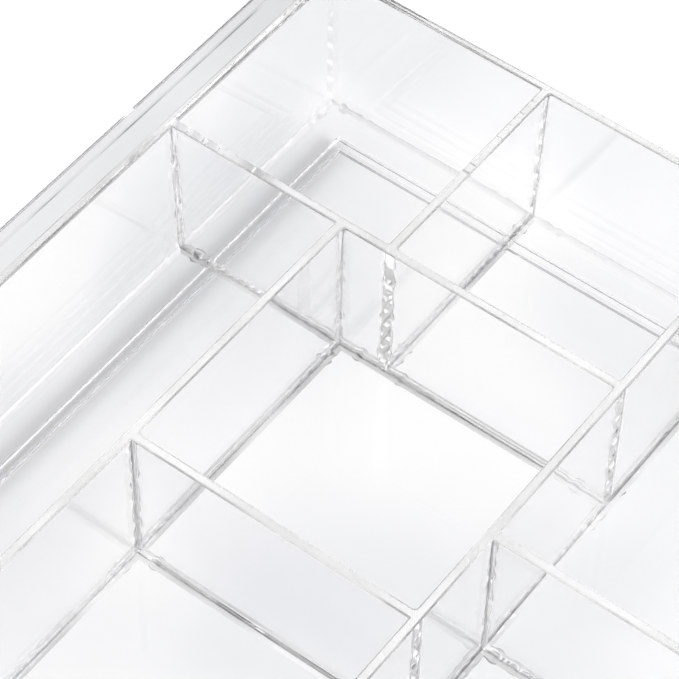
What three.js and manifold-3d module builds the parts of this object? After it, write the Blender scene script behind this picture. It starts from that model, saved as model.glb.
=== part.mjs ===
// Clear acrylic drawer organizer: a shallow tray of bonded panels with fixed dividers.
// Millimetres, +Z up. X runs from left to right and Y from front to back.
// The origin is under the middle of the tray, on the surface that it stands on.
import * as THREE from 'three';
import { mergeVertices } from 'three/addons/utils/BufferGeometryUtils.js';
import Module from 'manifold-3d';

const wasm = await Module();
wasm.setup();

// Tray, between the inner foot lines of its walls
const INNER_WIDTH = 200;
const INNER_LENGTH = 296;
const RIM_HEIGHT = 46;
const FLOOR_THICKNESS = 2.5;

// Outer walls, which lean outwards from foot to rim
const WALL_FOOT_THICKNESS = 2.6;
const WALL_RIM_THICKNESS = 2.3;
const WALL_LEAN = 1.9;

// Dividers, thicker at the foot than at the rim
const DIVIDER_FOOT_THICKNESS = 3;
const DIVIDER_RIM_THICKNESS = 2.5;

// Divider centre lines, from the inner foot of the left wall or of the back wall
const LONG_DIVIDER_FROM_LEFT = 132.2;
const REAR_DIVIDER_FROM_LEFT = 64.9;
const SIDE_DIVIDER_FROM_LEFT = 50.6;
const CROSS_DIVIDER_FROM_BACK = 63.9;
const RIGHT_DIVIDER_FROM_BACK = 116.2;
const MIDDLE_DIVIDER_FROM_BACK = 144.7;

// Edge finish and joints
const FOOT_FILLET = 0.8;
const EDGE_ROUND = 0.4;
const BOND_GAP = 0.2;
const ARC_STEPS = 4;

// Lift lips along the left and right rims: a flat flange that ends in a raised bead
const LIP_FLANGE_WIDTH = 5.2;
const LIP_FLANGE_THICKNESS = 2.2;
const LIP_BEAD_WIDTH = 3.6;
const LIP_BEAD_RISE = 1.2;
const LIP_BEAD_ROUND = 1;
const LIP_END_INSET = 4;
const LIP_CORNER_RADIUS = 6;

// Foot rails under the floor
const RAIL_INSET = 8;
const RAIL_THICKNESS = 2.6;
const RAIL_HEIGHT = 3;
const RAIL_ROUND = 0.5;

// Clear acrylic as the eye sees it: almost colourless, polished
const ACRYLIC_COLOUR = 0xf1f4f4;
const ACRYLIC_ROUGHNESS = 0.04;
const ACRYLIC_OPACITY = 0.35;

// Places that follow from the driving sizes
const LEFT = -INNER_WIDTH / 2;
const RIGHT = INNER_WIDTH / 2;
const FRONT = -INNER_LENGTH / 2;
const BACK = INNER_LENGTH / 2;
const FLOOR_TOP = RAIL_HEIGHT + FLOOR_THICKNESS;
const RIM_REACH = WALL_LEAN + WALL_RIM_THICKNESS;
const LIP_INNER = RIM_REACH + BOND_GAP;
const LIP_OUTER = LIP_INNER + LIP_FLANGE_WIDTH + LIP_BEAD_WIDTH;
const LIP_TOP = RIM_HEIGHT - EDGE_ROUND;
const LIP_UNDERSIDE = LIP_TOP - LIP_FLANGE_THICKNESS;
const LIP_BEAD_TOP = LIP_TOP + LIP_BEAD_RISE;

// Room that a cutting solid keeps past the piece it cuts
const CUT_MARGIN = 5;

const QUARTER = Math.PI / 2;

function toSolid(geometry) {
  const bare = geometry.clone();
  bare.deleteAttribute('normal');
  bare.deleteAttribute('uv');
  const merged = mergeVertices(bare, 1e-4);
  return new wasm.Manifold(new wasm.Mesh({
    numProp: 3,
    vertProperties: new Float32Array(merged.attributes.position.array),
    triVerts: new Uint32Array(merged.index.array),
  }));
}

function toGeometry(solid) {
  const mesh = solid.getMesh();
  const geometry = new THREE.BufferGeometry();
  geometry.setAttribute('position', new THREE.BufferAttribute(new Float32Array(mesh.vertProperties), 3));
  geometry.setIndex(new THREE.BufferAttribute(new Uint32Array(mesh.triVerts), 1));
  geometry.computeVertexNormals();
  return geometry;
}

// A cross-section (across, up) run along Y from one end to the other.
function extrudeAlongY(section, from, to) {
  const geometry = new THREE.ExtrudeGeometry(section, {
    depth: to - from,
    bevelEnabled: false,
    curveSegments: ARC_STEPS,
  });
  geometry.rotateX(QUARTER);
  geometry.translate(0, to, 0);
  return geometry;
}

// A plan outline raised from one height to another.
function extrudeUp(outline, from, to) {
  const geometry = new THREE.ExtrudeGeometry(outline, {
    depth: to - from,
    bevelEnabled: false,
    curveSegments: ARC_STEPS,
  });
  geometry.translate(0, 0, from);
  return geometry;
}

function roundedRectangle(xMin, yMin, xMax, yMax, radius) {
  const shape = new THREE.Shape();
  shape.moveTo(xMin + radius, yMin);
  shape.lineTo(xMax - radius, yMin);
  shape.absarc(xMax - radius, yMin + radius, radius, -QUARTER, 0, false);
  shape.lineTo(xMax, yMax - radius);
  shape.absarc(xMax - radius, yMax - radius, radius, 0, QUARTER, false);
  shape.lineTo(xMin + radius, yMax);
  shape.absarc(xMin + radius, yMax - radius, radius, QUARTER, 2 * QUARTER, false);
  shape.lineTo(xMin, yMin + radius);
  shape.absarc(xMin + radius, yMin + radius, radius, 2 * QUARTER, 3 * QUARTER, false);
  return shape;
}

// Divider section, standing on the floor and centred on its line, with a fillet at each foot.
function dividerSection() {
  const foot = DIVIDER_FOOT_THICKNESS / 2;
  const rim = DIVIDER_RIM_THICKNESS / 2;
  const shoulder = RIM_HEIGHT - EDGE_ROUND;
  const shape = new THREE.Shape();
  shape.moveTo(-foot - FOOT_FILLET, 0);
  shape.lineTo(foot + FOOT_FILLET, 0);
  shape.absarc(foot + FOOT_FILLET, FOOT_FILLET, FOOT_FILLET, -QUARTER, -2 * QUARTER, true);
  shape.lineTo(rim, shoulder);
  shape.absarc(rim - EDGE_ROUND, shoulder, EDGE_ROUND, 0, QUARTER, false);
  shape.lineTo(-rim + EDGE_ROUND, RIM_HEIGHT);
  shape.absarc(-rim + EDGE_ROUND, shoulder, EDGE_ROUND, QUARTER, 2 * QUARTER, false);
  shape.lineTo(-foot, FOOT_FILLET);
  shape.absarc(-foot - FOOT_FILLET, FOOT_FILLET, FOOT_FILLET, 0, -QUARTER, true);
  return shape;
}

// Wall section, with x = 0 at the inner foot line and outwards positive.
function wallSection() {
  const shoulder = RIM_HEIGHT - EDGE_ROUND;
  const shape = new THREE.Shape();
  shape.moveTo(-FOOT_FILLET, 0);
  shape.lineTo(WALL_FOOT_THICKNESS, 0);
  shape.lineTo(RIM_REACH, shoulder);
  shape.absarc(RIM_REACH - EDGE_ROUND, shoulder, EDGE_ROUND, 0, QUARTER, false);
  shape.lineTo(WALL_LEAN + EDGE_ROUND, RIM_HEIGHT);
  shape.absarc(WALL_LEAN + EDGE_ROUND, shoulder, EDGE_ROUND, QUARTER, 2 * QUARTER, false);
  shape.lineTo(0, FOOT_FILLET);
  shape.absarc(-FOOT_FILLET, FOOT_FILLET, FOOT_FILLET, 0, -QUARTER, true);
  return shape;
}

// The space that a piece ending on a divider keeps clear: half the divider plus the bond gap.
function dividerClearance() {
  const foot = DIVIDER_FOOT_THICKNESS / 2 + BOND_GAP;
  const rim = DIVIDER_RIM_THICKNESS / 2 + BOND_GAP;
  const shape = new THREE.Shape();
  shape.moveTo(-foot - FOOT_FILLET, -CUT_MARGIN);
  shape.lineTo(foot + FOOT_FILLET, -CUT_MARGIN);
  shape.lineTo(foot + FOOT_FILLET, 0);
  shape.absarc(foot + FOOT_FILLET, FOOT_FILLET, FOOT_FILLET, -QUARTER, -2 * QUARTER, true);
  shape.lineTo(rim, RIM_HEIGHT);
  shape.lineTo(rim, RIM_HEIGHT + CUT_MARGIN);
  shape.lineTo(-rim, RIM_HEIGHT + CUT_MARGIN);
  shape.lineTo(-rim, RIM_HEIGHT);
  shape.lineTo(-foot, FOOT_FILLET);
  shape.absarc(-foot - FOOT_FILLET, FOOT_FILLET, FOOT_FILLET, 0, -QUARTER, true);
  shape.lineTo(-foot - FOOT_FILLET, -CUT_MARGIN);
  return shape;
}

// The space that a piece ending on a wall keeps clear: the wall, its bond gap and all outside it.
function wallClearance() {
  const outside = RIM_REACH + CUT_MARGIN;
  const shape = new THREE.Shape();
  shape.moveTo(-FOOT_FILLET - BOND_GAP, -CUT_MARGIN);
  shape.lineTo(outside, -CUT_MARGIN);
  shape.lineTo(outside, RIM_HEIGHT + CUT_MARGIN);
  shape.lineTo(WALL_LEAN - BOND_GAP, RIM_HEIGHT + CUT_MARGIN);
  shape.lineTo(WALL_LEAN - BOND_GAP, RIM_HEIGHT);
  shape.lineTo(-BOND_GAP, FOOT_FILLET);
  shape.absarc(-FOOT_FILLET - BOND_GAP, FOOT_FILLET, FOOT_FILLET, 0, -QUARTER, true);
  return shape;
}

// A strip along one side of a rectangle, mitred at both ends. Local x = 0 lies on the side's line,
// outwards positive, and halfLength is half that side. Half the bond gap stays at each mitre.
function mitredStrip(section, halfLength, innermost, outermost, zMin, zMax) {
  const run = halfLength + outermost + CUT_MARGIN;
  const strip = toSolid(extrudeAlongY(section, -run, run));
  const setback = BOND_GAP / Math.SQRT2;
  const near = innermost - CUT_MARGIN;
  const far = outermost + CUT_MARGIN;
  const plan = new THREE.Shape();
  plan.moveTo(near, -halfLength - near + setback);
  plan.lineTo(far, -halfLength - far + setback);
  plan.lineTo(far, halfLength + far - setback);
  plan.lineTo(near, halfLength + near - setback);
  const keep = toSolid(extrudeUp(plan, zMin - CUT_MARGIN, zMax + CUT_MARGIN));
  return toGeometry(strip.intersect(keep));
}

function acrylicMesh(name, geometry) {
  const material = new THREE.MeshStandardMaterial({
    color: ACRYLIC_COLOUR,
    roughness: ACRYLIC_ROUGHNESS,
    metalness: 0,
    transparent: true,
    opacity: ACRYLIC_OPACITY,
  });
  const mesh = new THREE.Mesh(geometry, material);
  mesh.name = name;
  return mesh;
}

// The four sides of a rectangle: outward direction as a turn about Z, and each side's reach.
function rectangleSides(halfWidth, halfLength) {
  return [
    { side: 'right', turn: 0, reach: halfWidth, half: halfLength },
    { side: 'back', turn: QUARTER, reach: halfLength, half: halfWidth },
    { side: 'left', turn: 2 * QUARTER, reach: halfWidth, half: halfLength },
    { side: 'front', turn: 3 * QUARTER, reach: halfLength, half: halfWidth },
  ];
}

function placeOnSide(mesh, side) {
  mesh.rotation.z = side.turn;
  mesh.position.x = side.reach * Math.cos(side.turn);
  mesh.position.y = side.reach * Math.sin(side.turn);
  return mesh;
}

function basePanel() {
  const outline = new THREE.Shape();
  outline.moveTo(LEFT - WALL_FOOT_THICKNESS, FRONT - WALL_FOOT_THICKNESS);
  outline.lineTo(RIGHT + WALL_FOOT_THICKNESS, FRONT - WALL_FOOT_THICKNESS);
  outline.lineTo(RIGHT + WALL_FOOT_THICKNESS, BACK + WALL_FOOT_THICKNESS);
  outline.lineTo(LEFT - WALL_FOOT_THICKNESS, BACK + WALL_FOOT_THICKNESS);
  return acrylicMesh('base_panel', extrudeUp(outline, -FLOOR_THICKNESS, 0));
}

function outerWalls() {
  const sides = rectangleSides(INNER_WIDTH / 2, INNER_LENGTH / 2);
  return sides.map((side) => {
    const geometry = mitredStrip(wallSection(), side.half, -FOOT_FILLET, RIM_REACH, 0, RIM_HEIGHT);
    return placeOnSide(acrylicMesh(`${side.side}_wall`, geometry), side);
  });
}

// Rails stand on edge under the floor and keep it off the drawer.
function footRails() {
  const half = RAIL_THICKNESS / 2;
  const bottom = -FLOOR_THICKNESS - RAIL_HEIGHT;
  const section = new THREE.Shape();
  section.moveTo(-half + RAIL_ROUND, bottom);
  section.lineTo(half - RAIL_ROUND, bottom);
  section.absarc(half - RAIL_ROUND, bottom + RAIL_ROUND, RAIL_ROUND, -QUARTER, 0, false);
  section.lineTo(half, -FLOOR_THICKNESS);
  section.lineTo(-half, -FLOOR_THICKNESS);
  section.lineTo(-half, bottom + RAIL_ROUND);
  section.absarc(-half + RAIL_ROUND, bottom + RAIL_ROUND, RAIL_ROUND, 2 * QUARTER, 3 * QUARTER, false);
  const inset = RAIL_INSET + half;
  const sides = rectangleSides(INNER_WIDTH / 2 - inset, INNER_LENGTH / 2 - inset);
  return sides.map((side) => {
    const geometry = mitredStrip(section, side.half, -half, half, bottom, -FLOOR_THICKNESS);
    return placeOnSide(acrylicMesh(`foot_rail_${side.side}`, geometry), side);
  });
}

// A lip's inner edge follows the lean of its wall's outer face, one bond gap away.
function lipSection() {
  const wallSlope = (RIM_REACH - WALL_FOOT_THICKNESS) / (RIM_HEIGHT - EDGE_ROUND);
  const outer = LIP_OUTER - LIP_BEAD_ROUND;
  const beadInner = LIP_OUTER - LIP_BEAD_WIDTH;
  const section = new THREE.Shape();
  section.moveTo(LIP_INNER - wallSlope * LIP_FLANGE_THICKNESS, LIP_UNDERSIDE);
  section.lineTo(outer, LIP_UNDERSIDE);
  section.absarc(outer, LIP_UNDERSIDE + LIP_BEAD_ROUND, LIP_BEAD_ROUND, -QUARTER, 0, false);
  section.lineTo(LIP_OUTER, LIP_BEAD_TOP - LIP_BEAD_ROUND);
  section.absarc(outer, LIP_BEAD_TOP - LIP_BEAD_ROUND, LIP_BEAD_ROUND, 0, QUARTER, false);
  section.lineTo(beadInner + EDGE_ROUND, LIP_BEAD_TOP);
  section.absarc(beadInner + EDGE_ROUND, LIP_BEAD_TOP - EDGE_ROUND, EDGE_ROUND, QUARTER, 2 * QUARTER, false);
  section.lineTo(beadInner, LIP_TOP);
  section.lineTo(LIP_INNER, LIP_TOP);
  return section;
}

// Both lips stop short of the corners and are rounded there in plan.
function liftLips() {
  const halfLength = INNER_LENGTH / 2 - LIP_END_INSET;
  const run = toSolid(extrudeAlongY(lipSection(), -halfLength - CUT_MARGIN, halfLength + CUT_MARGIN));
  const inner = LIP_INNER - LIP_CORNER_RADIUS - CUT_MARGIN;
  const plan = roundedRectangle(inner, -halfLength, LIP_OUTER, halfLength, LIP_CORNER_RADIUS);
  const ends = toSolid(extrudeUp(plan, LIP_UNDERSIDE - CUT_MARGIN, LIP_BEAD_TOP + CUT_MARGIN));
  const geometry = toGeometry(run.intersect(ends));
  const sides = rectangleSides(INNER_WIDTH / 2, INNER_LENGTH / 2);
  return sides.filter(({ side }) => side === 'left' || side === 'right').map((side) => {
    return placeOnSide(acrylicMesh(`lift_lip_${side.side}`, geometry.clone()), side);
  });
}

// Cutting solids, one for each panel that a divider ends on.
function wallCutter(side) {
  const reach = INNER_WIDTH + INNER_LENGTH;
  const geometry = extrudeAlongY(wallClearance(), -reach, reach);
  const turns = { right: 0, back: QUARTER, left: 2 * QUARTER, front: 3 * QUARTER };
  const half = side === 'left' || side === 'right' ? INNER_WIDTH / 2 : INNER_LENGTH / 2;
  geometry.translate(half, 0, 0);
  geometry.rotateZ(turns[side]);
  return toSolid(geometry);
}

function lengthwiseCutter(x) {
  const geometry = extrudeAlongY(dividerClearance(), FRONT, BACK);
  geometry.translate(x, 0, 0);
  return toSolid(geometry);
}

function crosswiseCutter(y) {
  const geometry = extrudeAlongY(dividerClearance(), LEFT, RIGHT);
  geometry.rotateZ(-QUARTER);
  geometry.translate(0, y, 0);
  return toSolid(geometry);
}

// A divider that runs front to back at x, coped at both ends onto the panels that it meets.
function lengthwiseDivider(name, x, yFrom, yTo, cutters) {
  const geometry = extrudeAlongY(dividerSection(), yFrom, yTo);
  geometry.translate(x, 0, 0);
  const coped = cutters.reduce((solid, cutter) => solid.subtract(cutter), toSolid(geometry));
  return acrylicMesh(name, toGeometry(coped));
}

// A divider that runs left to right at y, coped in the same way.
function crosswiseDivider(name, y, xFrom, xTo, cutters) {
  const geometry = extrudeAlongY(dividerSection(), xFrom, xTo);
  geometry.rotateZ(-QUARTER);
  geometry.translate(0, y, 0);
  const coped = cutters.reduce((solid, cutter) => solid.subtract(cutter), toSolid(geometry));
  return acrylicMesh(name, toGeometry(coped));
}

function dividers() {
  const longX = LEFT + LONG_DIVIDER_FROM_LEFT;
  const rearX = LEFT + REAR_DIVIDER_FROM_LEFT;
  const sideX = LEFT + SIDE_DIVIDER_FROM_LEFT;
  const crossY = BACK - CROSS_DIVIDER_FROM_BACK;
  const rightY = BACK - RIGHT_DIVIDER_FROM_BACK;
  const middleY = BACK - MIDDLE_DIVIDER_FROM_BACK;
  const wall = {
    left: wallCutter('left'),
    right: wallCutter('right'),
    front: wallCutter('front'),
    back: wallCutter('back'),
  };
  const long = lengthwiseCutter(longX);
  const side = lengthwiseCutter(sideX);
  const cross = crosswiseCutter(crossY);
  const backEnd = BACK + WALL_LEAN;
  const frontEnd = FRONT - WALL_LEAN;
  const leftEnd = LEFT - WALL_LEAN;
  const rightEnd = RIGHT + WALL_LEAN;
  return [
    lengthwiseDivider('long_divider', longX, frontEnd, backEnd, [wall.front, wall.back]),
    lengthwiseDivider('rear_divider', rearX, crossY, backEnd, [cross, wall.back]),
    lengthwiseDivider('side_divider', sideX, frontEnd, crossY, [wall.front, cross]),
    crosswiseDivider('cross_divider', crossY, leftEnd, longX, [wall.left, long]),
    crosswiseDivider('middle_divider', middleY, sideX, longX, [side, long]),
    crosswiseDivider('right_divider', rightY, longX, rightEnd, [long, wall.right]),
  ];
}

// Heights in the tray group are counted from the floor's upper face.
const tray = new THREE.Group();
tray.add(basePanel());
tray.add(...outerWalls());
tray.add(...dividers());
tray.add(...liftLips());
tray.add(...footRails());
tray.position.z = FLOOR_TOP;

const organizer = new THREE.Group();
organizer.add(tray);

export default organizer;
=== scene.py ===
"""Clear acrylic drawer organizer: its looks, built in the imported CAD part's own frame.

Every panel is made again as a closed sheet of clear acrylic with its joints closed, so that
light runs on from panel to panel through the welded faces as it does in the real tray.
"""

import math

import bmesh
import bpy
from bpy.props import FloatProperty, FloatVectorProperty, PointerProperty
from mathutils import Matrix, Vector


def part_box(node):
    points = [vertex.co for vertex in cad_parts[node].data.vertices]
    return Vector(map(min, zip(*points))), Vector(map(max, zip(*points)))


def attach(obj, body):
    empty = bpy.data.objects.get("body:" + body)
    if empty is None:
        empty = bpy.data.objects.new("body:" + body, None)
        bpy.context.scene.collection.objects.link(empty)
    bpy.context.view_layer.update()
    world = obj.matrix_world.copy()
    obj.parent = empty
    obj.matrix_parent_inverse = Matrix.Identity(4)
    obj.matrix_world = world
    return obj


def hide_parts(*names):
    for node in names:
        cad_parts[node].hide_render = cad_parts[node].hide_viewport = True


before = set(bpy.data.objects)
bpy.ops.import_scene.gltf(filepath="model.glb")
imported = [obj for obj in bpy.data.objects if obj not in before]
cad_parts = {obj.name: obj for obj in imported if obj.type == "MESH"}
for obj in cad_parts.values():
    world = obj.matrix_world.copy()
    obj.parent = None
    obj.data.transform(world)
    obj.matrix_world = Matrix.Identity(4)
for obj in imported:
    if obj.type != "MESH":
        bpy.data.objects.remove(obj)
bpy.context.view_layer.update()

bl_info = {
    "name": "Clear drawer organizer",
    "version": (1, 0, 0),
    "blender": (4, 5, 0),
    "location": "View3D > Sidebar > Organizer",
    "description": "Builds a clear acrylic drawer organizer tray over its CAD frame",
    "category": "Add Mesh",
}

MM = 0.001
BODY = "root"
SIDES = ("right", "back", "left", "front")

# Steps that draw a quarter round: of foot fillets, of rims and bars, and of weld beads at joints
FILLET_STEPS = 6
ROUND_STEPS = 5
JOINT_STEPS = 4
# Edges that turn more than this stay crisp
SHARP_TURN = math.radians(35)
# How finely panels are divided along and up, so that their welds can be uneven
COLUMN_STEP = 3 * MM
FINE_STEP = 0.9 * MM
ROW_STEP = 1.5 * MM
# Room that stays clear of other divisions at the end of a panel or a lip
END_ROOM = 1 * MM
# Two places closer than this are the same
SAME_PLACE = 1e-9

# Unevenness as (length in mm, share): of foot welds along a panel, and of weld beads up a joint
FOOT_WAVES = ((31.0, 0.4), (17.0, 0.35), (11.0, 0.25))
FOOT_RIPPLE = 0.08
BEAD_WAVES = ((11.0, 0.35), (6.7, 0.35), (4.9, 0.3))
BEAD_RIPPLE = 0.75
# Near a joint a foot weld is fuller and bubbly, and that dies down within the reach
BUBBLE_WAVES = ((4.4, 0.6), (3.1, 0.4))
BUBBLE_LIFT = 0.4
BUBBLE_RIPPLE = 1.8
BUBBLE_RANGE = (0.25, 2.4)
BUBBLE_REACH = 14 * MM
# What sets the unevenness of one weld apart from that of the next
WAVE_SHIFT = 1.7
EDGE_SHIFT = 2.1
CENTRE_SPAN = 7 * MM
BUBBLE_SEED = 3
DIVIDER_SEED = 10


def srgb(code):
    """Linear RGBA of an sRGB hex value."""
    parts = [int(code[i:i + 2], 16) / 255 for i in (0, 2, 4)]
    linear = [c / 12.92 if c <= 0.04045 else ((c + 0.055) / 1.055) ** 2.4 for c in parts]
    return (*linear, 1.0)


def middle(node, axis):
    """Middle of a CAD node's box along one axis."""
    low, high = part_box(node)
    return (low[axis] + high[axis]) / 2


def length(name, default, description):
    """A size in metres that a user may change."""
    return FloatProperty(name=name, description=description, default=default, min=0.0,
                         precision=5, unit="LENGTH", subtype="DISTANCE")


def place(name, default, description):
    """A place along an axis, in metres, that a user may change."""
    return FloatProperty(name=name, description=description, default=default,
                         precision=5, unit="LENGTH", subtype="DISTANCE")


def colour(name, code, description):
    """A colour that a user may change, from its sRGB hex value."""
    return FloatVectorProperty(name=name, description=description, default=srgb(code), size=4,
                               min=0.0, max=1.0, subtype="COLOR")


CAD_FILLET = 0.8 * MM
FLOOR_LOW, FLOOR_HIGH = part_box("base_panel")
TOE_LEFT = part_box("left_wall")[1].x
TOE_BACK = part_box("back_wall")[0].y
RIM_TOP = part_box("back_wall")[1].z
RAIL_LOW, RAIL_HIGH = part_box("foot_rail_right")
LIP_LOW, LIP_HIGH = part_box("lift_lip_right")


class TraySizes(bpy.types.PropertyGroup):
    """Main sizes of the tray, read from the CAD nodes where their boxes give them."""
    inner_half_width: length("Inner half width", -TOE_LEFT + CAD_FILLET,
                             "Middle to a side wall's inner foot")
    inner_half_length: length("Inner half length", TOE_BACK + CAD_FILLET,
                              "Middle to an end wall's inner foot")
    floor_top: length("Floor top", FLOOR_HIGH.z, "Height of the floor's upper face")
    floor_thickness: length("Floor thickness", FLOOR_HIGH.z - FLOOR_LOW.z,
                            "Thickness of the floor panel")
    rim_height: length("Rim height", RIM_TOP - FLOOR_HIGH.z, "Floor to rim")
    wall_lean: length("Wall lean", 1.9 * MM, "How far a wall leans out from foot to rim")
    wall_foot: length("Wall foot", FLOOR_HIGH.x + TOE_LEFT - CAD_FILLET,
                      "Wall thickness at its foot")
    wall_rim: length("Wall rim", 2.3 * MM, "Wall thickness at its rim")
    divider_foot: length("Divider foot", 3.0 * MM, "Divider thickness at its foot")
    divider_rim: length("Divider rim", 2.5 * MM, "Divider thickness at its rim")
    foot_fillet: length("Foot fillet", 1.2 * MM, "Fillet of weld where a panel stands on the floor")
    joint_fillet: length("Joint fillet", 0.8 * MM, "Bead of weld where a divider ends on a panel")
    edge_round: length("Edge round", 0.4 * MM, "Round along the polished rims")


class DividerPlaces(bpy.types.PropertyGroup):
    """Centre lines of the dividers, read from the CAD nodes."""
    long_x: place("Long divider", middle("long_divider", 0), "X of the long divider")
    rear_x: place("Rear divider", middle("rear_divider", 0), "X of the rear divider")
    side_x: place("Side divider", middle("side_divider", 0), "X of the side divider")
    cross_y: place("Cross divider", middle("cross_divider", 1), "Y of the cross divider")
    middle_y: place("Middle divider", middle("middle_divider", 1), "Y of the middle divider")
    right_y: place("Right divider", middle("right_divider", 1), "Y of the right divider")


class TrimSizes(bpy.types.PropertyGroup):
    """Lift lips and foot rails, read from the CAD nodes where their boxes give them."""
    lip_reach: length("Lip reach", LIP_HIGH.x, "Middle of the tray to a lip's outer edge")
    lip_half_length: length("Lip half length", LIP_HIGH.y, "Half the length of a lip")
    lip_underside: length("Lip underside", LIP_LOW.z - FLOOR_HIGH.z, "Floor to a lip's underside")
    lip_top: length("Lip top", LIP_HIGH.z - FLOOR_HIGH.z, "Floor to the top of a lip's bead")
    lip_flange: length("Lip flange", 2.2 * MM, "Thickness of the flat flange")
    lip_bead: length("Lip bead", 3.6 * MM, "Width of the raised bead")
    lip_round: length("Lip round", 1.0 * MM, "Round along the bead's outer edges")
    lip_corner: length("Lip corner", 6.0 * MM, "Corner radius of a lip in plan")
    rail_outer: length("Rail outer face", RAIL_HIGH.x, "Middle of the tray to a side rail's outer face")
    rail_thickness: length("Rail thickness", RAIL_HIGH.x - RAIL_LOW.x, "Thickness of a foot rail")
    rail_round: length("Rail round", 0.5 * MM, "Round along a rail's lower edges")


class AcrylicLook(bpy.types.PropertyGroup):
    """Colours that the acrylic passes, and the colour of the paper under the tray. Those of the rims'
    corners, the lips and the lips' inner flanks are painted shade, and that of the weld beads partly so.
    """
    sheet: colour("Sheet", "f8f8fa", "Colour that the dividers' clear sheet passes")
    shell: colour("Shell", "eeeff1", "Colour that the walls and the floor pass")
    edge: colour("Edge", "e0e0dd", "Colour that a rim's milled top passes")
    # Painted shade: this dark grey draws the dark lines along the rims' corners
    arris: colour("Arris", "868786", "Painted shade: a dark grey on a rim's milled corners")
    # Painted shade: this grey stands for the shadowed paper seen through the lips
    lip: colour("Lip", "dedfe0", "Colour that the lift lips pass")
    # Painted shade: this dark grey draws a dark line on the lips' inner flanks
    sawn: colour("Sawn", "6f7070", "Colour that an unpolished sawn flank passes")
    # Partly painted shade: the weld beads are uneven, and their dim stretches draw dark foot lines
    bead: colour("Bead", "b0b1b1", "Colour of a weld bead's dim stretches, partly painted shade")
    pale: colour("Pale", "fefefe", "Colour that the clearest patches pass")
    ground: colour("Ground", "f6f6f6", "Colour of the paper")


# Property groups by the name that they have on the scene
GROUPS = {
    "organizer_tray": TraySizes,
    "organizer_dividers": DividerPlaces,
    "organizer_trim": TrimSizes,
    "organizer_look": AcrylicLook,
}


def add_node(tree, kind, values=(), links=(), **settings):
    """Adds a node, sets its attributes and input values, and links its inputs."""
    node = tree.nodes.new(kind)
    for name, value in settings.items():
        setattr(node, name, value)
    for socket, value in dict(values).items():
        node.inputs[socket].default_value = value
    for socket, source in dict(links).items():
        tree.links.new(source, node.inputs[socket])
    return node


def fresh_material(name):
    """An empty node material, and its tree."""
    material = bpy.data.materials.new(name)
    material.use_nodes = True
    material.node_tree.nodes.clear()
    return material, material.node_tree


ACRYLIC_IOR = 1.49
# Levels of the noise between which clear patches give way to dimmer ones, and polish to grit
PATCH_FADE = (0.32, 0.68)
GRIT_FADE = (0.35, 0.75)
# Which of the noise's patterns the patches take: this one lays dim patches round the back-left corner as
# painted shade
PATCH_AND_CORNER_SHADE_SEED = 8.0


def clear_acrylic(name, dim, pale, patch_mm, wave_mm, wave_depth_mm, grit_mm, roughness, shade):
    """Clear acrylic: the eye sees soft patches where it passes less light, faint slow waves in
    what lies behind it, and a dull bloom where it isn't polished. The dim colours of the rims'
    corners, the lips and their inner flanks are painted shade, that of the foot welds partly so,
    and so are the dim patches round the back-left corner."""
    _, tree = fresh_material(name)
    where = {"Vector": add_node(tree, "ShaderNodeTexCoord").outputs["Object"]}
    patches = add_node(tree, "ShaderNodeTexNoise",
                       {"Scale": 1 / (patch_mm * MM), "Detail": 1.0, "W": PATCH_AND_CORNER_SHADE_SEED},
                       where, noise_dimensions="4D")
    share = add_node(tree, "ShaderNodeMapRange",
                     {"From Min": PATCH_FADE[0], "From Max": PATCH_FADE[1]},
                     {"Value": patches.outputs["Fac"]}, interpolation_type="SMOOTHSTEP")
    tint = add_node(tree, "ShaderNodeMixRGB", {"Color1": tuple(dim), "Color2": tuple(pale)},
                    {"Fac": share.outputs["Result"]})
    waves = add_node(tree, "ShaderNodeTexNoise", {"Scale": 1 / (wave_mm * MM), "Detail": 1.0}, where)
    relief = add_node(tree, "ShaderNodeBump", {"Strength": 1.0, "Distance": wave_depth_mm * MM},
                      {"Height": waves.outputs["Fac"]})
    grit = add_node(tree, "ShaderNodeTexNoise", {"Scale": 1 / (grit_mm * MM), "Detail": 3.0}, where)
    smooth, dull = roughness
    polish = add_node(tree, "ShaderNodeMapRange",
                      {"From Min": GRIT_FADE[0], "From Max": GRIT_FADE[1],
                       "To Min": smooth, "To Max": dull},
                      {"Value": grit.outputs["Fac"]})
    sheet = add_node(tree, "ShaderNodeBsdfPrincipled",
                     {"IOR": ACRYLIC_IOR, "Transmission Weight": 1.0},
                     {"Base Color": tint.outputs["Color"], "Roughness": polish.outputs["Result"],
                      "Normal": relief.outputs["Normal"]})
    # Lamps and the light that the paper gathers pass the sheet, as they do a clear one.
    ray = add_node(tree, "ShaderNodeLightPath")
    passing = add_node(tree, "ShaderNodeMath", (),
                       {0: ray.outputs["Is Shadow Ray"], 1: ray.outputs["Is Diffuse Ray"]},
                       operation="MAXIMUM")
    through = add_node(tree, "ShaderNodeBsdfTransparent", {"Color": srgb(shade)})
    both = add_node(tree, "ShaderNodeMixShader", (),
                    {"Fac": passing.outputs[0], 1: sheet.outputs["BSDF"], 2: through.outputs["BSDF"]})
    add_node(tree, "ShaderNodeOutputMaterial", (), {"Surface": both.outputs["Shader"]})


def welded_joint(name):
    """Solvent-welded acrylic: the two faces have become one, so nothing shows where they meet."""
    _, tree = fresh_material(name)
    joint = add_node(tree, "ShaderNodeBsdfPrincipled", {"Alpha": 0.0, "IOR": ACRYLIC_IOR})
    add_node(tree, "ShaderNodeOutputMaterial", (), {"Surface": joint.outputs["BSDF"]})


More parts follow.
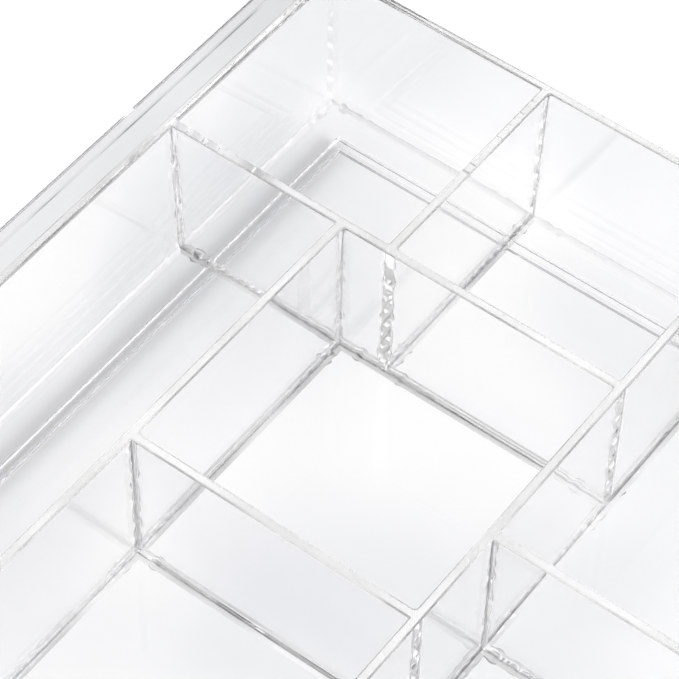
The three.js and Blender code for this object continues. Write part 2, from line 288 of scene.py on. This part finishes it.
# How a surface was made: its slow waves and their depth, its grit, and its roughness from best to worst
CAST = {"wave_mm": 40, "wave_depth_mm": 0.008, "grit_mm": 0.6, "roughness": (0.0, 0.02)}
MILLED = {"wave_mm": 14, "wave_depth_mm": 0.002, "grit_mm": 0.4, "roughness": (0.0, 0.01)}
EXTRUDED = {"wave_mm": 14, "wave_depth_mm": 0.004, "grit_mm": 4, "roughness": (0.2, 0.3)}
SAW_CUT = {"wave_mm": 6, "wave_depth_mm": 0.004, "grit_mm": 0.3, "roughness": (0.05, 0.2)}
FLOWED = {"wave_mm": 14, "wave_depth_mm": 0.004, "grit_mm": 0.4, "roughness": (0.0, 0.03)}
FROSTED = {"wave_mm": 14, "wave_depth_mm": 0.004, "grit_mm": 0.4, "roughness": (0.5, 0.7)}

# The finishes in the order of a piece's material slots: name, dimmer and paler colour of its patches,
# their size in mm, how it was made, and what a face of it lets through to the paper
FACE, WELD, EDGE, RAIL, SHELL, SAWN_SHADE, LIP_SHADE, ARRIS_SHADE, BEAD_WITH_SHADE, FROST = range(10)
FINISHES = (
    # Dividers: all but colourless, so the eye finds them by their edges.
    ("Clear cast acrylic", "sheet", "pale", 60, CAST, "fdfdfd"),
    # Faces that are welded to a neighbour: nothing shows.
    ("Solvent-welded acrylic joint",),
    # Tops of the rims: a pale band.
    ("Milled acrylic edge", "edge", "pale", 25, MILLED, "fbfbfb"),
    # Flanks of the side rails: dulled, with a soft grey on the paper beside them.
    ("Extruded acrylic rail", "sheet", "pale", 60, EXTRUDED, "505050"),
    # Walls and floor: a faint grey that comes and goes in slow patches; the dim ones round the back-left
    # corner are painted shade.
    ("Clear cast acrylic shell", "shell", "pale", 70, CAST, "fdfdfd"),
    # Inner flank of a lip's bead: a dull line from the saw cut, its dark tint painted shade.
    ("Sawn acrylic edge", "sawn", "edge", 15, SAW_CUT, "fbfbfb"),
    # Lift lips: greyer than the walls, painted shade for the shadowed paper seen through them.
    ("Clear cast acrylic lip", "lip", "shell", 70, CAST, "fbfbfb"),
    # Corners along the rims: painted shade, thin dark lines on both sides of the pale band.
    ("Milled acrylic arris", "arris", "edge", 18, MILLED, "fbfbfb"),
    # Foot welds of the dividers: uneven stretches whose dark tint, painted shade, draws the foot lines.
    ("Solvent weld bead", "bead", "pale", 30, FLOWED, "fbfbfb"),
    # Inner foot welds of the walls and undersides of the side rails: soft white lines without detail.
    ("Frosted acrylic", "sheet", "pale", 30, FROSTED, "fdfdfd"),
)


def finishes():
    """The tray's materials in the order of a piece's slots."""
    look = bpy.context.scene.organizer_look
    for name, *facts in FINISHES:
        if name in bpy.data.materials:
            continue
        if facts:
            dim, pale, patch_mm, made, shade = facts
            clear_acrylic(name, getattr(look, dim), getattr(look, pale), patch_mm, shade=shade, **made)
        else:
            welded_joint(name)
    return [bpy.data.materials[name] for name, *_ in FINISHES]


def make_piece(node, points, faces, finish):
    """A closed mesh that stands for one CAD node: points in metres, a finish for each face."""
    mesh = bpy.data.meshes.new(f"{node}_sheet")
    mesh.from_pydata(points, [], faces)
    for material in finishes():
        mesh.materials.append(material)
    mesh.polygons.foreach_set("material_index", finish)
    shell = bmesh.new()
    shell.from_mesh(mesh)
    bmesh.ops.recalc_face_normals(shell, faces=shell.faces)
    if any(not edge.is_manifold for edge in shell.edges):
        raise RuntimeError(f"the sheet for {node} isn't closed")
    shell.to_mesh(mesh)
    shell.free()
    mesh.shade_smooth()
    mesh.set_sharp_from_angle(angle=SHARP_TURN)
    piece = bpy.data.objects.new(f"{node}_sheet", mesh)
    bpy.context.scene.collection.objects.link(piece)
    soften = piece.modifiers.new("even shading", "WEIGHTED_NORMAL")
    soften.keep_sharp = True
    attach(piece, BODY)
    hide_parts(node)


def ripple(along, seed, waves):
    """A repeatable unevenness from -1 to 1, with humps of the waves' lengths."""
    return sum(share * math.sin(2 * math.pi * along / (span * MM) + seed * (WAVE_SHIFT + span))
               for span, share in waves)


def quarter(steps):
    """Angles of a quarter turn."""
    return [math.pi / 2 * i / steps for i in range(steps + 1)]


class Rows:
    """Heights up a panel from the floor, with each face's offset and the weld bead at that height."""

    def __init__(self):
        tray = bpy.context.scene.organizer_tray
        trim = bpy.context.scene.organizer_trim
        fillet, edge = tray.foot_fillet, tray.edge_round
        shoulder = tray.rim_height - edge
        reach = tray.wall_lean + tray.wall_rim
        self.height, self.wall_in, self.wall_out, self.half = [], [], [], []

        def outer(z):
            return tray.wall_foot + (reach - tray.wall_foot) * z / shoulder

        for turn in quarter(FILLET_STEPS):
            step, z = fillet * (1 - math.sin(turn)), fillet * (1 - math.cos(turn))
            self.add(z, -step, outer(z), tray.divider_foot / 2 + step)
        self.fillet_rows = len(self.height)
        levels = [fillet + ROW_STEP * i for i in range(1, int((shoulder - fillet) / ROW_STEP))]
        levels = [z for z in levels if abs(z - trim.lip_underside) > ROW_STEP / 2]
        for z in sorted(levels + [trim.lip_underside]):
            share = (z - fillet) / (shoulder - fillet)
            half = (tray.divider_foot + (tray.divider_rim - tray.divider_foot) * share) / 2
            self.add(z, tray.wall_lean * share, outer(z), half)
        for turn in quarter(ROUND_STEPS):
            step, z = edge * (1 - math.cos(turn)), shoulder + edge * math.sin(turn)
            self.add(z, tray.wall_lean + step, reach - step, tray.divider_rim / 2 - step)
        self.count = len(self.height)
        self.shoulder_row = self.count - 1 - ROUND_STEPS
        self.lip_row = self.height.index(trim.lip_underside)
        self.even_bead = [tray.joint_fillet * min(1.0, z / (2 * fillet)) for z in self.height]

    def add(self, z, wall_in, wall_out, half):
        """One more row, above the last."""
        self.height.append(z)
        self.wall_in.append(wall_in)
        self.wall_out.append(wall_out)
        self.half.append(half)

    def bead(self, centre, sign):
        """The weld bead's size at one edge of a divider's end, row by row."""
        seed = centre / CENTRE_SPAN + EDGE_SHIFT * sign
        return [even * (1 + BEAD_RIPPLE * ripple(z, seed, BEAD_WAVES))
                for even, z in zip(self.even_bead, self.height)]

    def guest(self, centre, sign):
        """Where one edge of a divider's end lies along the panel that it ends on, row by row."""
        return [centre + sign * (half + bead) for half, bead in zip(self.half, self.bead(centre, sign))]

    def joints(self, start, end, centres):
        """The joints along a panel, its ends and the dividers that end on it, with the room of each."""
        room = 2 * max(self.even_bead)
        return [(start, room), (end, room)] + [(centre, self.half[0] + room) for centre in centres]

    def still(self, along):
        """One place along a panel, the same at every row."""
        return [along] * self.count


def loft(node, columns, rows, floor_top, to_plan, welds, plain):
    """A panel between two faces. A column is (places on face a, places on face b, offsets a,
    offsets b) and, where they aren't the rows' own, its heights, each a list up the rows. welds
    holds (face, column, first row, last row) cells, and plain is the finish of the rest."""
    points, faces, finish = [], [], []
    count, wide = rows.count, len(columns)
    for at_a, at_b, off_a, off_b, *own in columns:
        for at, off in ((at_a, off_a), (at_b, off_b)):
            for along, across, z in zip(at, off, own[0] if own else rows.height):
                x, y = to_plan(along, across)
                points.append((x, y, floor_top + z))

    def spot(face, column, row):
        return (2 * column + face) * count + row

    def quad(corners, kind):
        faces.append(corners)
        finish.append(kind)

    welded = {(face, column, row) for face, column, low, high in welds for row in range(low, high)}
    feet = (BEAD_WITH_SHADE, BEAD_WITH_SHADE) if plain == FACE else (FROST, plain)
    top = count - 1
    for c in range(wide - 1):
        for face in (0, 1):
            for r in range(count - 1):
                if (face, c, r) in welded:
                    kind = WELD
                elif r >= rows.shoulder_row:
                    kind = ARRIS_SHADE
                else:
                    kind = feet[face] if r < rows.fillet_rows - 1 else plain
                quad((spot(face, c, r), spot(face, c, r + 1),
                      spot(face, c + 1, r + 1), spot(face, c + 1, r)), kind)
        for row, kind in ((top, EDGE), (0, WELD)):
            quad((spot(0, c, row), spot(1, c, row), spot(1, c + 1, row), spot(0, c + 1, row)), kind)
    for c in (0, wide - 1):
        for r in range(count - 1):
            quad((spot(0, c, r), spot(1, c, r), spot(1, c, r + 1), spot(0, c, r + 1)), WELD)
    make_piece(node, points, faces, finish)


def fill_places(start, end, joints=()):
    """Places between two ends, clear of the joints there and closer together near them.
    A joint is a place and the room that it needs."""
    places, at = [], start
    while at < end:
        near = min((abs(at - joint) for joint, _ in joints), default=end - start)
        at += FINE_STEP if near < BUBBLE_REACH else COLUMN_STEP
        if end - at > END_ROOM and all(abs(at - joint) > room for joint, room in joints):
            places.append(at)
    return places


def foot_gain(along, seed, joints):
    """How much fuller or leaner than the plain fillet the foot weld is at a place along a panel."""
    near = min(abs(along - joint) for joint, _ in joints)
    bubble = BUBBLE_LIFT + BUBBLE_RIPPLE * ripple(along, BUBBLE_SEED * seed, BUBBLE_WAVES)
    gain = 1 + FOOT_RIPPLE * ripple(along, seed, FOOT_WAVES) + bubble * math.exp(-2 * near / BUBBLE_REACH)
    return min(max(gain, BUBBLE_RANGE[0]), BUBBLE_RANGE[1])


def scaled_foot(values, rows, base, gain):
    """Values up the rows with those of the foot fillet scaled about a base; the lowest row stays."""
    return [base + (value - base) * gain if 0 < r < rows.fillet_rows else value
            for r, value in enumerate(values)]


def side_frame(side, inset=0.0):
    """A side of the tray: whether it faces along X, half its run, and a function that turns a place
    along it and an offset outward from its inner foot into a place in plan."""
    tray = bpy.context.scene.organizer_tray
    across_x = side in ("left", "right")
    sign = 1 if side in ("right", "back") else -1
    run = (tray.inner_half_length if across_x else tray.inner_half_width) - inset
    reach = (tray.inner_half_width if across_x else tray.inner_half_length) - inset

    def to_plan(along, across):
        out = sign * (reach + across)
        return (out, along) if across_x else (along, out)

    return across_x, run, to_plan


class ORGANIZER_OT_walls(bpy.types.Operator):
    """Builds the four leaning outer walls"""
    bl_idname = "organizer.walls"
    bl_label = "Outer walls"

    def execute(self, context):
        tray, trim = context.scene.organizer_tray, context.scene.organizer_trim
        lines = context.scene.organizer_dividers
        rows = Rows()
        guests = {"left": [lines.cross_y], "right": [lines.right_y],
                  "back": [lines.rear_x, lines.long_x], "front": [lines.side_x, lines.long_x]}
        for number, side in enumerate(SIDES):
            across_x, half, to_plan = side_frame(side)
            columns = []
            for centre in guests[side]:
                for edge in (-1, 1):
                    at = rows.guest(centre, edge)
                    columns.append((at, rows.still(at[0]), rows.wall_in, rows.wall_out))
            lips = [-trim.lip_half_length, trim.lip_half_length] if across_x else []
            for along in lips:
                columns.append((rows.still(along), rows.still(along), rows.wall_in, rows.wall_out))
            joints = rows.joints(-half, half, guests[side]) + [(along, END_ROOM) for along in lips]
            for along in fill_places(-half, half, joints):
                gain = foot_gain(along, number, joints)
                columns.append((rows.still(along), rows.still(along),
                                scaled_foot(rows.wall_in, rows, 0.0, gain), rows.wall_out,
                                scaled_foot(rows.height, rows, 0.0, gain)))
            columns.sort(key=lambda column: column[0][0])
            # The mitred ends
            offsets = rows.wall_in, rows.wall_out
            first, last = [[[end * (half + off) for off in face] for face in offsets]
                           for end in (-1, 1)]
            columns = [(*first, *offsets), *columns, (*last, *offsets)]
            starts = [column[0][0] for column in columns]
            welds = [(0, starts.index(rows.guest(centre, -1)[0]), 0, rows.count - 1)
                     for centre in guests[side]]
            if lips:
                welds += [(1, column, rows.lip_row, rows.shoulder_row)
                          for column in range(starts.index(lips[0]), starts.index(lips[1]))]
            loft(f"{side}_wall", columns, rows, tray.floor_top, to_plan, welds, SHELL)
        return {"FINISHED"}


class ORGANIZER_OT_dividers(bpy.types.Operator):
    """Builds the six fixed dividers, each welded at both ends"""
    bl_idname = "organizer.dividers"
    bl_label = "Dividers"

    def execute(self, context):
        tray, lines = context.scene.organizer_tray, context.scene.organizer_dividers
        rows = Rows()

        def wall(half, sign):
            return [sign * (half + off) for off in rows.wall_in]

        def face(line, sign):
            return [line + sign * half for half in rows.half]

        left, right = (wall(tray.inner_half_width, sign) for sign in (-1, 1))
        front, back = (wall(tray.inner_half_length, sign) for sign in (-1, 1))
        # Name, run, centre line, start, end, and the dividers that end on its faces a and b
        plan = (
            ("long_divider", "y", lines.long_x, front, back,
             [lines.cross_y, lines.middle_y], [lines.right_y]),
            ("rear_divider", "y", lines.rear_x, face(lines.cross_y, 1), back, [], []),
            ("side_divider", "y", lines.side_x, front, face(lines.cross_y, -1), [], [lines.middle_y]),
            ("cross_divider", "x", lines.cross_y, left, face(lines.long_x, -1),
             [lines.side_x], [lines.rear_x]),
            ("middle_divider", "x", lines.middle_y, face(lines.side_x, 1), face(lines.long_x, -1),
             [], []),
            ("right_divider", "x", lines.right_y, face(lines.long_x, 1), right, [], []),
        )
        for number, (node, run, line, start, end, on_a, on_b) in enumerate(plan):
            def to_plan(along, across, run=run, line=line):
                return (line + across, along) if run == "y" else (along, line + across)

            guests = [(0, centre) for centre in on_a] + [(1, centre) for centre in on_b]
            columns = []
            for own, centre in guests:
                for edge in (-1, 1):
                    at = rows.guest(centre, edge)
                    still = rows.still(at[0])
                    pair = (at, still) if own == 0 else (still, at)
                    columns.append((*pair, [-h for h in rows.half], rows.half))
            joints = rows.joints(start[0], end[0], on_a + on_b)
            for along in fill_places(start[0], end[0], joints):
                gain = foot_gain(along, DIVIDER_SEED + number, joints)
                halves = scaled_foot(rows.half, rows, tray.divider_foot / 2, gain)
                columns.append((rows.still(along), rows.still(along), [-h for h in halves], halves,
                                scaled_foot(rows.height, rows, 0.0, gain)))
            columns.sort(key=lambda column: column[0][0])
            columns = [*self.end_columns(rows, line, start, 1), *columns,
                       *reversed(self.end_columns(rows, line, end, -1))]
            welds = []
            for own, centre in guests:
                starts = [column[own][0] for column in columns]
                welds.append((own, starts.index(rows.guest(centre, -1)[0]), 0, rows.count - 1))
            loft(node, columns, rows, tray.floor_top, to_plan, welds, FACE)
        return {"FINISHED"}

    def end_columns(self, rows, line, origin, sign):
        """Columns at a divider's end, where it flares out to the bead of weld on its neighbour."""
        beads = rows.bead(line, -1), rows.bead(line, 1)
        group = []
        for turn in quarter(JOINT_STEPS):
            away, flare = sign * (1 - math.cos(turn)), 1 - math.sin(turn)
            at = [[u + away * b for u, b in zip(origin, bead)] for bead in beads]
            half_a, half_b = [[h + flare * b for h, b in zip(rows.half, bead)] for bead in beads]
            group.append((*at, [-h for h in half_a], half_b))
        return group


class ORGANIZER_OT_floor(bpy.types.Operator):
    """Builds the floor panel, welded where walls, dividers and rails stand"""
    bl_idname = "organizer.floor"
    bl_label = "Floor panel"

    def execute(self, context):
        tray, trim = context.scene.organizer_tray, context.scene.organizer_trim
        lines = context.scene.organizer_dividers
        wide, deep = tray.inner_half_width, tray.inner_half_length
        fillet, edge = tray.foot_fillet, tray.edge_round
        toe = tray.divider_foot / 2 + fillet
        inset = wide - trim.rail_outer
        rail_in = inset + trim.rail_thickness
        # Lines that divide the panel: its edge, the walls' toes, the rails' faces and the dividers' toes
        cuts = []
        for half, centres in ((wide, (lines.long_x, lines.rear_x, lines.side_x)),
                              (deep, (lines.cross_y, lines.middle_y, lines.right_y))):
            places = {half + tray.wall_foot - edge, half - fillet, half - inset, half - rail_in}
            both = places | {-p for p in places}
            both |= {centre + sign * toe for centre in centres for sign in (-1, 1)}
            cuts.append(sorted(both))
        xs, ys = cuts
        long_left, long_right = lines.long_x - toe, lines.long_x + toe
        # Where the dividers stand: lowest and highest x and y of each
        stands = [
            (long_left, -deep, long_right, deep),
            (lines.rear_x - toe, lines.cross_y, lines.rear_x + toe, deep),
            (lines.side_x - toe, -deep, lines.side_x + toe, lines.cross_y),
            (-wide, lines.cross_y - toe, long_left, lines.cross_y + toe),
            (lines.side_x, lines.middle_y - toe, long_left, lines.middle_y + toe),
            (long_right, lines.right_y - toe, wide, lines.right_y + toe),
        ]

        def stood_on(x, y):
            if abs(x) > wide - fillet or abs(y) > deep - fillet:
                return True
            return any(x0 < x < x1 and y0 < y < y1 for x0, y0, x1, y1 in stands)

        def on_rail(x, y):
            out = max(abs(x) - (wide - inset), abs(y) - (deep - inset))
            return -trim.rail_thickness < out < 0

        points, faces, finish = [], [], []
        top, bottom = tray.floor_top, tray.floor_top - tray.floor_thickness
        across, down = len(xs), len(ys)
        for z in (top, bottom):
            points += [(x, y, z) for y in ys for x in xs]
        for layer, test in enumerate((stood_on, on_rail)):
            for j in range(down - 1):
                for i in range(across - 1):
                    first = layer * across * down + j * across + i
                    faces.append((first, first + 1, first + 1 + across, first + across))
                    centre = ((xs[i] + xs[i + 1]) / 2, (ys[j] + ys[j + 1]) / 2)
                    finish.append(WELD if test(*centre) else SHELL)
        # The side, in rings from the upper edge, square under the walls, to a rounded lower edge
        loop = list(range(across))
        loop += [j * across + across - 1 for j in range(1, down)]
        loop += [(down - 1) * across + i for i in range(across - 2, -1, -1)]
        loop += [j * across for j in range(down - 2, 0, -1)]
        rings = [loop]
        profile = [(edge, top)] + [(edge * math.sin(t), bottom + edge * (1 - math.cos(t)))
                                   for t in reversed(quarter(ROUND_STEPS)[1:])]
        for out, z in profile:
            ring = []
            for index in loop:
                x, y, _ = points[index]
                x += math.copysign(out, x) if abs(abs(x) - xs[-1]) < SAME_PLACE else 0
                y += math.copysign(out, y) if abs(abs(y) - ys[-1]) < SAME_PLACE else 0
                ring.append(len(points))
                points.append((x, y, z))
            rings.append(ring)
        rings.append([across * down + index for index in loop])
        for upper, lower in zip(rings, rings[1:]):
            for a in range(len(loop)):
                b = (a + 1) % len(loop)
                faces.append((upper[a], upper[b], lower[b], lower[a]))
                finish.append(WELD if upper is loop else SHELL)
        make_piece("base_panel", points, faces, finish)
        return {"FINISHED"}


def bar(stations, to_plan, kinds, end_kind):
    """A bar swept through stations, each a closed section of (across, along, z) places. kinds holds
    a finish for each edge of the section, and end_kind is that of the two ends."""
    points, faces, finish = [], [], []
    count = len(kinds)
    for station in stations:
        points += [(*to_plan(along, across), z) for across, along, z in station]
    for s in range(len(stations) - 1):
        a, b = s * count, (s + 1) * count
        for i, kind in enumerate(kinds):
            j = (i + 1) % count
            faces.append((a + i, a + j, b + j, b + i))
            finish.append(kind)
    last = (len(stations) - 1) * count
    faces += [tuple(range(count)), tuple(range(last, last + count))]
    finish += [end_kind, end_kind]
    return points, faces, finish


class ORGANIZER_OT_lips(bpy.types.Operator):
    """Builds the two lift lips that run along the side rims"""
    bl_idname = "organizer.lips"
    bl_label = "Lift lips"

    def execute(self, context):
        tray, trim = context.scene.organizer_tray, context.scene.organizer_trim
        rows = Rows()
        half, corner = trim.lip_half_length, trim.lip_corner
        under, crest = trim.lip_underside, trim.lip_top
        flange_top = under + trim.lip_flange
        wall_under = tray.inner_half_width + rows.wall_out[rows.lip_row]
        wall_top = tray.inner_half_width + rows.wall_out[rows.shoulder_row]
        outer, soft, edge = trim.lip_reach, trim.lip_round, tray.edge_round
        bead_in = outer - trim.lip_bead
        turns = quarter(ROUND_STEPS)
        # Section (across, z) from the wall along the underside, round the bead and back on the flange
        section = [(wall_under, under)]
        section += [(outer - soft + soft * math.sin(t), under + soft * (1 - math.cos(t)))
                    for t in turns]
        section += [(outer - soft + soft * math.cos(t), crest - soft + soft * math.sin(t))
                    for t in turns]
        section += [(bead_in + edge - edge * math.sin(t), crest - edge + edge * math.cos(t))
                    for t in turns]
        section += [(bead_in, flange_top), (wall_top, flange_top)]
        # The bead's inner flank, the flange and the weld to the wall come last
        kinds = [LIP_SHADE] * (len(section) - 3) + [SAWN_SHADE, LIP_SHADE, WELD]
        depths = [corner * (1 - math.cos(t)) for t in quarter(2 * ROUND_STEPS)]
        places = [-half + d for d in depths] + fill_places(-half + corner, half - corner)
        places += [half - d for d in reversed(depths)]

        def station(along):
            near = min(corner, half - abs(along))
            limit = outer - corner + math.sqrt(max(0.0, corner ** 2 - (corner - near) ** 2))
            return [(min(across, limit), along, tray.floor_top + z) for across, z in section]

        for side, sign in (("left", -1), ("right", 1)):
            def to_plan(along, across, sign=sign):
                return sign * across, along

            points, faces, finish = bar([station(p) for p in places], to_plan, kinds, EDGE)
            make_piece(f"lift_lip_{side}", points, faces, finish)
        return {"FINISHED"}


class ORGANIZER_OT_rails(bpy.types.Operator):
    """Builds the four mitred foot rails under the floor"""
    bl_idname = "organizer.rails"
    bl_label = "Foot rails"

    def execute(self, context):
        tray, trim = context.scene.organizer_tray, context.scene.organizer_trim
        top = tray.floor_top - tray.floor_thickness
        half, soft = trim.rail_thickness / 2, trim.rail_round
        turns = quarter(ROUND_STEPS)
        # Section (across, z) down the inner flank, along the underside and up the outer flank
        section = [(-half, top), (-half, soft)]
        section += [(-half + soft - soft * math.cos(t), soft - soft * math.sin(t)) for t in turns[1:]]
        section += [(half - soft + soft * math.sin(t), soft - soft * math.cos(t)) for t in turns]
        section += [(half, top)]
        inset = tray.inner_half_width - trim.rail_outer + half
        for side in SIDES:
            across_x, run, to_plan = side_frame(side, inset)
            kinds = [FACE] * (len(section) - 1) + [WELD]
            if across_x:
                kinds = [RAIL] + [FROST] * (len(section) - 3) + [RAIL, WELD]

            def station(along, run=run):
                mitre = math.copysign(1, along) if abs(along) == run else 0
                return [(across, along + mitre * across, z) for across, z in section]

            places = [-run, *fill_places(-run + half, run - half), run]
            points, faces, finish = bar([station(p) for p in places], to_plan, kinds, WELD)
            make_piece(f"foot_rail_{side}", points, faces, finish)
        return {"FINISHED"}


# The photograph's camera, in metres: where it stands, what it looks at, and its small tilt
EYE = Vector((233.47, -309.0, 621.45)) * MM
AIM = Vector((-28.0, 54.64, 51.5)) * MM
TILT = math.radians(1.765)
LENS_MM = 163.265
SENSOR_MM = 36
CLIP = (0.01, 20.0)

# Light crosses many clear faces before it reaches the paper behind them.
BOUNCES = 64
GLOSSY_BOUNCES = 36
CLEAR_BOUNCES = 128

PAPER_REACH = 3.0
PAPER_DROP = 0.05 * MM
# What the paper adds of its own where the camera sees it, also in and through the acrylic
PAPER_GLOW = 0.2

# A light tent, by the direction from the tray: a dark skirt, a bright roof and backdrop of uneven
# cloth, and an opening at the front. Dark and bright meet along the clear edges and draw their lines.
ROOF_EDGE, SKIRT_LEVEL, ROOF_LEVEL = (0.45, 0.65), 0.01, 0.7
BACKDROP_EDGE, BACKDROP_LEVEL = (0.6, 0.75), 0.72
FOLD_SCALE, FOLD_DETAIL, FOLD_RANGE, FOLD_LEVELS = 3.0, 2.0, (0.35, 0.65), (0.7, 1.3)
DARK_ROOM, OPENING_EDGE, OPENING_LEVEL = (0.36, -0.50, 0.79), (0.93, 0.97), 0.1

# Softboxes: place and size in metres, power in watts
SOFTBOXES = {
    "softbox_right": ((1.4, 0.05, 0.5), 1.2, 31.0),
    "softbox_left": ((-1.2, -0.3, 0.6), 0.8, 5.0),
}


class ORGANIZER_OT_stage(bpy.types.Operator):
    """Builds the paper floor, the studio light and the camera"""
    bl_idname = "organizer.stage"
    bl_label = "Stage"

    def execute(self, context):
        scene = context.scene
        scene.view_settings.view_transform = "Standard"
        scene.cycles.max_bounces = BOUNCES
        scene.cycles.transmission_bounces = BOUNCES
        scene.cycles.glossy_bounces = GLOSSY_BOUNCES
        scene.cycles.transparent_max_bounces = CLEAR_BOUNCES
        self.paper(scene)
        self.tent(scene)
        self.softboxes(scene)
        self.camera(scene)
        return {"FINISHED"}

    def paper(self, scene):
        """Matt white paper: the eye sees an even white that keeps the tray's soft shadows."""
        material, tree = fresh_material("White paper sweep")
        ray = add_node(tree, "ShaderNodeLightPath")
        seen = add_node(tree, "ShaderNodeMath", (),
                        {0: ray.outputs["Is Camera Ray"], 1: ray.outputs["Is Glossy Ray"]},
                        operation="MAXIMUM")
        seen = add_node(tree, "ShaderNodeMath", (),
                        {0: seen.outputs[0], 1: ray.outputs["Is Transmission Ray"]},
                        operation="MAXIMUM")
        glow = add_node(tree, "ShaderNodeMath", {1: PAPER_GLOW}, {0: seen.outputs[0]},
                        operation="MULTIPLY")
        paper = add_node(tree, "ShaderNodeBsdfPrincipled",
                         {"Base Color": tuple(scene.organizer_look.ground), "Roughness": 0.9,
                          "Specular IOR Level": 0.1, "Emission Color": (1.0, 1.0, 1.0, 1.0)},
                         {"Emission Strength": glow.outputs[0]})
        add_node(tree, "ShaderNodeOutputMaterial", (), {"Surface": paper.outputs["BSDF"]})
        mesh = bpy.data.meshes.new("paper_sweep")
        corners = ((-1, -1), (1, -1), (1, 1), (-1, 1))
        mesh.from_pydata([(PAPER_REACH * x, PAPER_REACH * y, -PAPER_DROP) for x, y in corners],
                         [], [(0, 1, 2, 3)])
        mesh.materials.append(material)
        sweep = bpy.data.objects.new("paper_sweep", mesh)
        scene.collection.objects.link(sweep)

    def tent(self, scene):
        """The light tent round the set, as the world."""
        world = bpy.data.worlds.new("Light tent")
        scene.world = world
        world.use_nodes = True
        tree = world.node_tree
        tree.nodes.clear()
        toward = add_node(tree, "ShaderNodeTexCoord").outputs["Generated"]
        parts = add_node(tree, "ShaderNodeSeparateXYZ", (), {"Vector": toward})
        roof = add_node(tree, "ShaderNodeMapRange",
                        {"From Min": ROOF_EDGE[0], "From Max": ROOF_EDGE[1],
                         "To Min": SKIRT_LEVEL, "To Max": ROOF_LEVEL},
                        {"Value": parts.outputs["Z"]}, interpolation_type="SMOOTHSTEP")
        backdrop = add_node(tree, "ShaderNodeMapRange",
                            {"From Min": BACKDROP_EDGE[0], "From Max": BACKDROP_EDGE[1],
                             "To Min": 0.0, "To Max": BACKDROP_LEVEL},
                            {"Value": parts.outputs["Y"]}, interpolation_type="SMOOTHSTEP")
        cloth = add_node(tree, "ShaderNodeMath", (),
                         {0: roof.outputs["Result"], 1: backdrop.outputs["Result"]},
                         operation="MAXIMUM")
        folds = add_node(tree, "ShaderNodeTexNoise", {"Scale": FOLD_SCALE, "Detail": FOLD_DETAIL},
                         {"Vector": toward})
        uneven = add_node(tree, "ShaderNodeMapRange",
                          {"From Min": FOLD_RANGE[0], "From Max": FOLD_RANGE[1],
                           "To Min": FOLD_LEVELS[0], "To Max": FOLD_LEVELS[1]},
                          {"Value": folds.outputs["Fac"]})
        cloth = add_node(tree, "ShaderNodeMath", (),
                         {0: cloth.outputs[0], 1: uneven.outputs["Result"]}, operation="MULTIPLY")
        near = add_node(tree, "ShaderNodeVectorMath", {1: DARK_ROOM}, {0: toward},
                        operation="DOT_PRODUCT")
        opening = add_node(tree, "ShaderNodeMapRange",
                           {"From Min": OPENING_EDGE[0], "From Max": OPENING_EDGE[1],
                            "To Min": 1.0, "To Max": OPENING_LEVEL},
                           {"Value": near.outputs["Value"]}, interpolation_type="SMOOTHSTEP")
        level = add_node(tree, "ShaderNodeMath", (),
                         {0: cloth.outputs[0], 1: opening.outputs["Result"]}, operation="MULTIPLY")
        back = add_node(tree, "ShaderNodeBackground", {"Color": (1.0, 1.0, 1.0, 1.0)},
                        {"Strength": level.outputs[0]})
        add_node(tree, "ShaderNodeOutputWorld", (), {"Surface": back.outputs["Background"]})

    def softboxes(self, scene):
        """The two soft side lights, each turned to the tray."""
        for name, (where, size, power) in SOFTBOXES.items():
            lamp = bpy.data.lights.new(name, "AREA")
            lamp.shape = "SQUARE"
            lamp.size = size
            lamp.energy = power
            softbox = bpy.data.objects.new(name, lamp)
            softbox.location = where
            softbox.rotation_euler = (-Vector(where)).to_track_quat("-Z", "Y").to_euler()
            scene.collection.objects.link(softbox)

    def camera(self, scene):
        """The camera at the photograph's place."""
        back = (EYE - AIM).normalized()
        right = Vector((0, 0, 1)).cross(back).normalized()
        up = back.cross(right)
        turned_right = right * math.cos(TILT) + up * math.sin(TILT)
        turned_up = up * math.cos(TILT) - right * math.sin(TILT)
        lens = bpy.data.cameras.new("camera")
        lens.sensor_width = SENSOR_MM
        lens.lens = LENS_MM
        lens.clip_start, lens.clip_end = CLIP
        camera = bpy.data.objects.new("camera", lens)
        axes = Matrix((turned_right, turned_up, back)).transposed()
        camera.matrix_world = Matrix.Translation(EYE) @ axes.to_4x4()
        scene.collection.objects.link(camera)
        scene.camera = camera


OPERATORS = (
    ORGANIZER_OT_floor,
    ORGANIZER_OT_walls,
    ORGANIZER_OT_dividers,
    ORGANIZER_OT_lips,
    ORGANIZER_OT_rails,
    ORGANIZER_OT_stage,
)


class ORGANIZER_PT_panel(bpy.types.Panel):
    """Lists the tray's pieces and sizes"""
    bl_idname = "ORGANIZER_PT_panel"
    bl_label = "Clear drawer organizer"
    bl_space_type = "VIEW_3D"
    bl_region_type = "UI"
    bl_category = "Organizer"

    def draw(self, context):
        for operator in OPERATORS:
            self.layout.operator(operator.bl_idname)
        for group in GROUPS:
            held = getattr(context.scene, group)
            for name in held.bl_rna.properties.keys():
                if name not in ("rna_type", "name"):
                    self.layout.prop(held, name)


def register():
    for group, kind in GROUPS.items():
        bpy.utils.register_class(kind)
        setattr(bpy.types.Scene, group, PointerProperty(type=kind))
    for kind in (*OPERATORS, ORGANIZER_PT_panel):
        bpy.utils.register_class(kind)


def unregister():
    for kind in reversed((*OPERATORS, ORGANIZER_PT_panel)):
        bpy.utils.unregister_class(kind)
    for group, kind in reversed(GROUPS.items()):
        delattr(bpy.types.Scene, group)
        bpy.utils.unregister_class(kind)


def main():
    register()
    bpy.ops.organizer.floor()
    bpy.ops.organizer.walls()
    bpy.ops.organizer.dividers()
    bpy.ops.organizer.lips()
    bpy.ops.organizer.rails()
    bpy.ops.organizer.stage()


if __name__ == "__main__":
    main()
